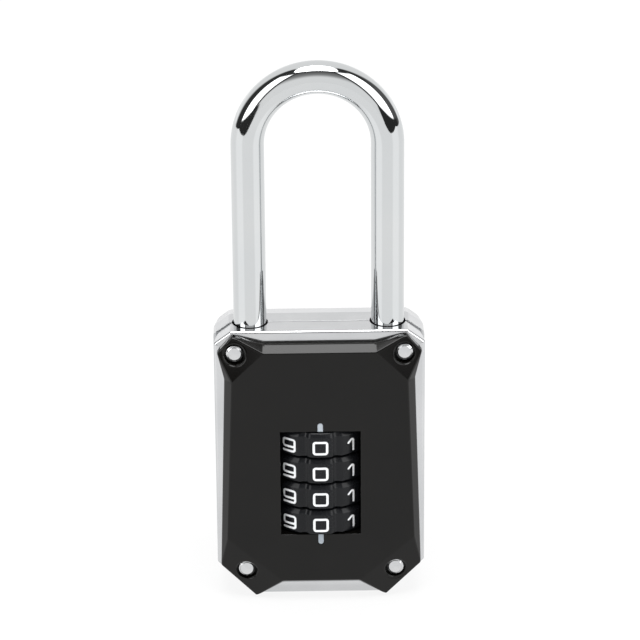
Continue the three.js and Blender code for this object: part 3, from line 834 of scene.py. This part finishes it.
def shackle_stations():
    """(centre, direction outward from the bend, radius) along the bar, from heel to toe."""
    heel = HEEL_TURNING + [(z, WIRE) for z in range(56, 116, 5)]
    toe = [(z, WIRE) for z in range(111, 60, -5)] + TOE_TURNING
    stations = [(Vector((-LEG_X, SHACKLE_Y, z)), Vector((-1, 0, 0)), r) for z, r in heel]
    for i in range(BEND_STEPS + 1):
        angle = math.pi * (1 - i / BEND_STEPS)
        outward = Vector((math.cos(angle), 0, math.sin(angle)))
        stations.append((Vector((0, SHACKLE_Y, BEND_CENTRE)) + outward * LEG_X, outward, WIRE))
    stations += [(Vector((LEG_X, SHACKLE_Y, z)), Vector((1, 0, 0)), r) for z, r in toe]
    return stations


def make_shackle():
    rings = []
    for centre, outward, radius in shackle_stations():
        rings.append([centre + outward * a + Vector((0, b, 0)) for a, b in disc(radius, 64)])
    piece = lofted("shackle_bar", rings)
    smooth(piece, 50)
    place_piece(piece, "chrome", "shackle", "shackle")


make_shackle()


# ---------------------------------------------------------------- dials

DIAL = {"radius": 13.0, "height": 6.3, "digits": 10, "first": 18.75, "pitch": 6.9, "sides": 320}
# The toothed seat that the sleeve's teeth fill, and the round hole below it.
SLEEVE_SEAT = {"root": 7.6, "tip": 8.5, "bottom": 1.6, "hole": 6.0}
FLUTE = {"depth": 0.62, "half_angle": math.radians(6.5), "fullness": 0.8}
# height is that of a digit's middle on its dial; cut and fill are the depths below the pad of the
# groove's floor and of the paint's surface.
DIGIT = {
    "height": 2.58,
    "stroke": 0.61,
    "half_width": 1.63,
    "half_height": 1.52,
    "corner": 0.5,
    "cut": 0.22,
    "fill": 0.05,
}
LINE_STEP = 0.35
ARC_STEPS = 5
# The most that a corner's arc takes of the shorter line beside it.
LONGEST_REACH = 0.48

# (inset from the full radius, height, share of the flute's depth) up the outside of a dial.
DIAL_PROFILE = [
    (0.55, 0.0, 1.0), (0.42, 0.0, 1.0), (0.3, 0.03, 1.0), (0.12, 0.14, 1.0), (0.03, 0.28, 1.0),
    (0.0, 0.45, 1.0), (0.0, 1.5, 1.0), (0.0, 3.4, 1.0), (0.0, 5.05, 1.0), (0.03, 5.22, 1.0),
    (0.12, 5.38, 1.0), (0.62, 6.0, 0.85), (0.72, 6.14, 0.75), (0.86, 6.24, 0.7), (1.02, 6.29, 0.65),
    (1.25, 6.3, 0.55), (2.2, 6.3, 0.0),
]


def flute_depth(angle):
    """Depth of the finger flutes at an angle round the dial, measured from the pad for 0."""
    step = math.tau / DIAL["digits"]
    from_flute = (angle % step) - step / 2
    share = abs(from_flute) / FLUTE["half_angle"]
    if share >= 1:
        return 0.0
    return FLUTE["depth"] * (0.5 + 0.5 * math.cos(math.pi * share)) ** FLUTE["fullness"]


def dial_blank(name):
    """A solid dial with its flutes, before the sleeve's seat and the digits are cut."""
    angles = [math.tau * i / DIAL["sides"] for i in range(DIAL["sides"])]
    rings = []
    for inset, height, share in DIAL_PROFILE:
        ring = []
        for angle in angles:
            radius = DIAL["radius"] - inset - share * flute_depth(angle)
            ring.append((radius * math.sin(angle), -radius * math.cos(angle), height))
        rings.append(ring)
    return lofted(name, rings)


def toothed_cutter(root, tip, z_range):
    """A cutter with as many teeth as the dial has digits."""
    outline = []
    step = math.tau / DIAL["digits"]
    for k in range(DIAL["digits"]):
        for share, radius in ((0.05, root), (0.45, root), (0.55, tip), (0.95, tip)):
            angle = (k + share) * step
            outline.append((radius * math.cos(angle), radius * math.sin(angle)))
    return lofted("teeth", [[(x, y, z) for x, y in outline] for z in z_range])


def rounded_path(points, radius, closed):
    """A centre line with an arc at every corner, and points no more than LINE_STEP apart."""
    count = len(points)
    line = []
    for i in range(count):
        if not closed and i in (0, count - 1):
            line.append(Vector(points[i]))
            continue
        a, b, c = (Vector(points[(i + k) % count]) for k in (-1, 0, 1))
        to_a, to_c = (a - b).normalized(), (c - b).normalized()
        half = to_a.angle(to_c) / 2
        shorter = min((a - b).length, (c - b).length)
        reach = min(radius / math.tan(half), LONGEST_REACH * shorter)
        turn = reach * math.tan(half)
        centre = b + (to_a + to_c).normalized() * (turn / math.sin(half))
        first, last = b + to_a * reach - centre, b + to_c * reach - centre
        line += [centre + first.slerp(last, k / ARC_STEPS) * turn for k in range(ARC_STEPS + 1)]
    fine = []
    pairs = list(zip(line, line[1:] + line[:1])) if closed else list(zip(line, line[1:]))
    for start, end in pairs:
        pieces = max(1, math.ceil((end - start).length / LINE_STEP))
        fine += [start.lerp(end, k / pieces) for k in range(pieces)]
    if not closed:
        fine.append(line[-1])
    return fine


def glyph_strokes():
    """Centre lines of the digits 0 to 9 in a plain rounded-square hand: [(points, closed)]."""
    w, h = DIGIT["half_width"], DIGIT["half_height"]
    waist = -0.12
    return [
        [([(-w, -h), (w, -h), (w, h), (-w, h)], True)],
        [([(-0.95, h - 0.95), (0.5, h + 0.3), (0.5, -h)], False)],
        [([(-w, h), (w, h), (w, 0), (-w, 0), (-w, -h), (w, -h)], False)],
        [([(-w, h), (w, h), (w, -h), (-w, -h)], False), ([(-w + 0.6, 0), (w, 0)], False)],
        [([(-w, h), (-w, waist), (w, waist)], False), ([(w * 0.45, h), (w * 0.45, -h)], False)],
        [([(w, h), (-w, h), (-w, 0.1), (w, 0.1), (w, -h), (-w, -h)], False)],
        [([(-w, -h), (w, -h), (w, 0.15), (-w, 0.15)], True),
         ([(-w, 0), (-w, h), (w * 0.9, h)], False)],
        [([(-w, h), (w, h), (-0.2, -h)], False)],
        [([(-w, -h), (w, -h), (w, h), (-w, h)], True), ([(-w, 0.05), (w, 0.05)], False)],
        [([(-w, -0.35), (w, -0.35), (w, h), (-w, h)], True),
         ([(w, 0.2), (w, -h), (-w, -h)], False)],
    ]


def stroke_cap(end, beyond, half):
    """Pairs of side points that narrow round the end of a stroke. beyond is the line's next point."""
    direction = (end - beyond).normalized()
    side = Vector((-direction.y, direction.x))
    made = []
    for k in range(1, ARC_STEPS + 1):
        angle = math.pi / 2 * k / ARC_STEPS
        middle = end + direction * (half * math.sin(angle))
        width = max(half * math.cos(angle), 0.03)
        made.append((middle + side * width, middle - side * width))
    return made


def stroke_solid(points, closed, digit, inner, outer):
    """A stroke of constant width bent round the dial, between two radii."""
    line = rounded_path(points, DIGIT["corner"], closed)
    half = DIGIT["stroke"] / 2
    count = len(line)

    def on_dial(point, radius):
        angle = math.tau * digit / DIAL["digits"] + point.x / DIAL["radius"]
        return (radius * math.sin(angle), -radius * math.cos(angle), DIGIT["height"] + point.y)

    pairs = []
    for i, point in enumerate(line):
        before = line[i - 1] if (closed or i) else point
        after = line[(i + 1) % count] if (closed or i < count - 1) else point
        along = (after - before).normalized()
        side = Vector((-along.y, along.x)) * half
        pairs.append((point + side, point - side))
    if not closed:
        head = [(b, a) for a, b in reversed(stroke_cap(line[0], line[1], half))]
        pairs = head + pairs + stroke_cap(line[-1], line[-2], half)
    rings = []
    for a, b in pairs:
        rings.append([on_dial(a, inner), on_dial(a, outer), on_dial(b, outer), on_dial(b, inner)])
    return lofted("stroke", rings, looped=closed)


def digit_solid(name, inner, outer):
    """All ten digits of one dial."""
    strokes = [
        stroke_solid(points, closed, digit, inner, outer)
        for digit, parts in enumerate(glyph_strokes())
        for points, closed in parts
    ]
    whole = strokes[0]
    whole.name = name
    return combine(whole, strokes[1:], "UNION")


def make_dials():
    radius, seat = DIAL["radius"], SLEEVE_SEAT
    ring = dial_blank("dial_ring")
    combine(ring, [
        toothed_cutter(seat["root"], seat["tip"], (seat["bottom"], DIAL["height"] + 1)),
        post(seat["hole"], (-1, seat["bottom"] + 0.2), (0, 0), 64),
        digit_solid("digit_cut", radius - DIGIT["cut"], radius + 1),
    ])
    smooth(ring, 32)
    digits = digit_solid("dial_digits", radius - DIGIT["cut"] + 0.01, radius - DIGIT["fill"])
    smooth(digits, 40)
    for k in range(4):
        number = 4 - k
        place = Vector((DIAL_AXIS[0], DIAL_AXIS[1], DIAL["first"] + k * DIAL["pitch"])) * MM
        for source, suffix, slot in ((ring, "ring", "dial_black"), (digits, "digits", "white_paint")):
            piece = source.copy()
            piece.data = source.data.copy()
            piece.name = f"dial_{number}_{suffix}"
            piece.data.name = piece.name
            scene.collection.objects.link(piece)
            piece.location = place
            stands_for = (f"dial_{number}",) if suffix == "ring" else ()
            place_piece(piece, slot, f"dial_{number}", *stands_for)
    drop([ring, digits])


make_dials()


# ---------------------------------------------------------------- studio

# Brightness, then ranges and edge softness in degrees: azimuth across, from the camera's side towards
# the right, and elevation. They are the dark room, a pillar at the right and two softboxes.
PANELS = [
    (0.04, (-112, 114), (-60, 71), (9, 1.5)),
    (0.12, (78, 118), (-60, 40), (6, 12)),
    (3.0, (-71, -35.5), (1, 54), (2.5, 3)),
    (3.0, (34.5, 79), (2, 58), (2.5, 3)),
]
FRONT_BOARD = ((-27.5, 26.5), (-60, 63), (2.5, 2))
OVERHEAD_LIGHT = 8.5
DARK_FLOOR = 0.03
BACKDROP = 1.1

# (from, to, value at from, value at to) along an angle in degrees: the brightness of the surroundings
# and of the front board by elevation, then the overhead's lower edge and the table's brim by azimuth.
SURROUNDINGS = (-20.0, 20.0, 1.35, 1.0)
BOARD_FADE = (14.0, 38.0, 1.0, 0.28)
BOARD_TOP_FADE = (38.0, 60.0, 1.0, 0.12)
BROW_SIDE = (30.0, 95.0, 62.0, 74.5)
BROW_REAR = (95.0, 150.0, 0.0, 4.5)
BRIM = (8.0, 27.0, -18.0, 1.5)
BRIM_END = (92.0, 108.0, 1.0, 0.0)

# The same for the pools of light painted on the table to the left and right of the front, where the
# front softboxes would light it: by azimuth in radians, then by distance in metres.
PAINTED_POOL_START = (0.55, 0.75, 0.0, 1.0)
PAINTED_POOL_END = (1.3, 1.6, 1.0, 0.0)
PAINTED_POOL_NEAR = (0.06, 0.12, 0.0, 1.0)
# The last value of each is the strength of the light painted in pools on it.
TABLE = {"x": (-1500, 1500), "y": (-420, 1500), "glow": 0.86, "albedo": 0.1, "painted_light_pools": 0.14}
APRON = {"x": (-6000, 6000), "y": (-5000, 6000), "glow": 1.1, "albedo": 0.0, "painted_light_pools": 0.0}
FLOOR_HEIGHT = -0.02


def make_world():
    """A bright studio: light surroundings, an overhead softbox, two front ones and dark gaps between."""
    world = bpy.data.worlds.new("studio")
    world.use_nodes = True
    tree = world.node_tree
    tree.nodes.clear()
    toward = add_node(tree, "ShaderNodeTexCoord").outputs["Generated"]
    x, y, z = add_node(tree, "ShaderNodeSeparateXYZ", {0: toward}).outputs
    degree = 180 / math.pi
    across = calc(tree, "MULTIPLY", calc(tree, "ARCTAN2", x, calc(tree, "MULTIPLY", y, -1.0)), degree)
    above = calc(tree, "MULTIPLY", calc(tree, "ARCSINE", z), degree)

    def over(base, value, share):
        """Covers a share of base with value."""
        keep = calc(tree, "MULTIPLY", base, calc(tree, "SUBTRACT", 1.0, share))
        return calc(tree, "ADD", keep, calc(tree, "MULTIPLY", share, value))

    def panel(base, value, width, height, soft):
        """Paints a soft-edged panel over base."""
        (left, right), (low, high) = width, height
        sides = calc(tree, "MULTIPLY",
                     spread(tree, across, left - soft[0], left + soft[0], 0.0, 1.0),
                     spread(tree, across, right - soft[0], right + soft[0], 1.0, 0.0))
        ends = calc(tree, "MULTIPLY",
                    spread(tree, above, low - soft[1], low + soft[1], 0.0, 1.0),
                    spread(tree, above, high - soft[1], high + soft[1], 1.0, 0.0))
        return over(base, value, calc(tree, "MULTIPLY", sides, ends))

    light = spread(tree, above, *SURROUNDINGS)
    for value, width, height, soft in PANELS:
        light = panel(light, value, width, height, soft)

    # A board straight in front of the object, which fades upwards.
    front = spread(tree, above, *BOARD_FADE)
    front = calc(tree, "MULTIPLY", front, spread(tree, above, *BOARD_TOP_FADE, kind="LINEAR"))
    light = panel(light, front, *FRONT_BOARD)

    # The overhead softbox reaches lowest towards the camera, and least far behind the object.
    turned_away = calc(tree, "ABSOLUTE", across)
    brow = calc(tree, "ADD", spread(tree, turned_away, *BROW_SIDE),
                spread(tree, turned_away, *BROW_REAR))
    overhead = spread(tree, calc(tree, "SUBTRACT", above, brow), -1.5, 1.5, 0.0, 1.0)
    light = over(light, OVERHEAD_LIGHT, overhead)

    # Past the table's edge the studio floor is dark, in a wedge that closes towards the camera.
    aside = calc(tree, "ABSOLUTE", calc(tree, "SUBTRACT", across, 2.0))
    brim = spread(tree, aside, *BRIM, kind="LINEAR")
    under = spread(tree, calc(tree, "SUBTRACT", above, brim), -1.0, 1.0, 1.0, 0.0)
    beside = spread(tree, aside, *BRIM_END)
    light = over(light, DARK_FLOOR, calc(tree, "MULTIPLY", under, beside))

    seen = add_node(tree, "ShaderNodeLightPath").outputs["Is Camera Ray"]
    shown = calc(tree, "ADD", calc(tree, "MULTIPLY", light, calc(tree, "SUBTRACT", 1.0, seen)),
                 calc(tree, "MULTIPLY", seen, BACKDROP))
    background = add_node(tree, "ShaderNodeBackground", {
        "Color": (1.0, 1.0, 1.0, 1.0), "Strength": shown,
    })
    add_node(tree, "ShaderNodeOutputWorld", {"Surface": background.outputs[0]})
    scene.world = world


def floor_material(name, glow, albedo, painted_light_pools):
    """A pale surface with a glow of its own, made brighter by painted pools of light to the left and
    right of the front, which stand in for the front softboxes' light on it.
    """
    material, tree = new_material(name)
    place = add_node(tree, "ShaderNodeTexCoord").outputs["Object"]
    grain = noise(tree, place, 900.0, detail=2.0)
    tone = blend_colours(tree, grain, (*[albedo * 0.98] * 3, 1), (*[albedo] * 3, 1))
    matte = add_node(tree, "ShaderNodeBsdfDiffuse", {"Color": tone})
    x, y, _ = add_node(tree, "ShaderNodeSeparateXYZ", {0: place}).outputs
    # Painted light: two pools, faded out near the middle, add to the glow where the front softboxes
    # would light the table.
    around = calc(tree, "ABSOLUTE", calc(tree, "ARCTAN2", x, calc(tree, "MULTIPLY", y, -1.0)))
    painted_light_pool = calc(tree, "MULTIPLY", spread(tree, around, *PAINTED_POOL_START),
                 spread(tree, around, *PAINTED_POOL_END))
    away = add_node(tree, "ShaderNodeVectorMath", {0: place}, operation="LENGTH").outputs["Value"]
    painted_light_pool = calc(tree, "MULTIPLY", painted_light_pool, spread(tree, away, *PAINTED_POOL_NEAR))
    strength = calc(tree, "ADD", glow, calc(tree, "MULTIPLY", painted_light_pool, painted_light_pools))
    lit = add_node(tree, "ShaderNodeEmission", {"Color": (1, 1, 1, 1), "Strength": strength})
    both = add_node(tree, "ShaderNodeAddShader", {0: matte.outputs[0], 1: lit.outputs[0]})
    add_node(tree, "ShaderNodeOutputMaterial", {"Surface": both.outputs[0]})
    return material


def floor_sheet(name, rings, material):
    """A level sheet, or a level frame between two rings."""
    if len(rings) > 1:
        sheet = lofted(name, rings, capped=False)
    else:
        sheet = built(name, rings[0], [(0, 1, 2, 3)])
    if sheet.data.polygons[0].normal.z < 0:
        sheet.data.flip_normals()
    sheet.data.materials.append(material)
    return sheet


def rectangle(sizes):
    (x0, x1), (y0, y1) = sizes["x"], sizes["y"]
    return [(x, y, FLOOR_HEIGHT) for x, y in ((x0, y0), (x1, y0), (x1, y1), (x0, y1))]


def make_floor():
    """A pale table, with a wide apron round it that only the camera sees."""
    tops = [
        floor_material(f"{name}_top", sizes["glow"], sizes["albedo"], sizes["painted_light_pools"])
        for name, sizes in (("table", TABLE), ("apron", APRON))
    ]
    floor_sheet("table", [rectangle(TABLE)], tops[0])
    apron = floor_sheet("apron", [rectangle(TABLE), rectangle(APRON)], tops[1])
    apron.visible_glossy = False
    apron.visible_diffuse = False
    apron.visible_shadow = False


make_world()
make_floor()

scene.view_settings.view_transform = "Standard"
scene.view_settings.look = "None"
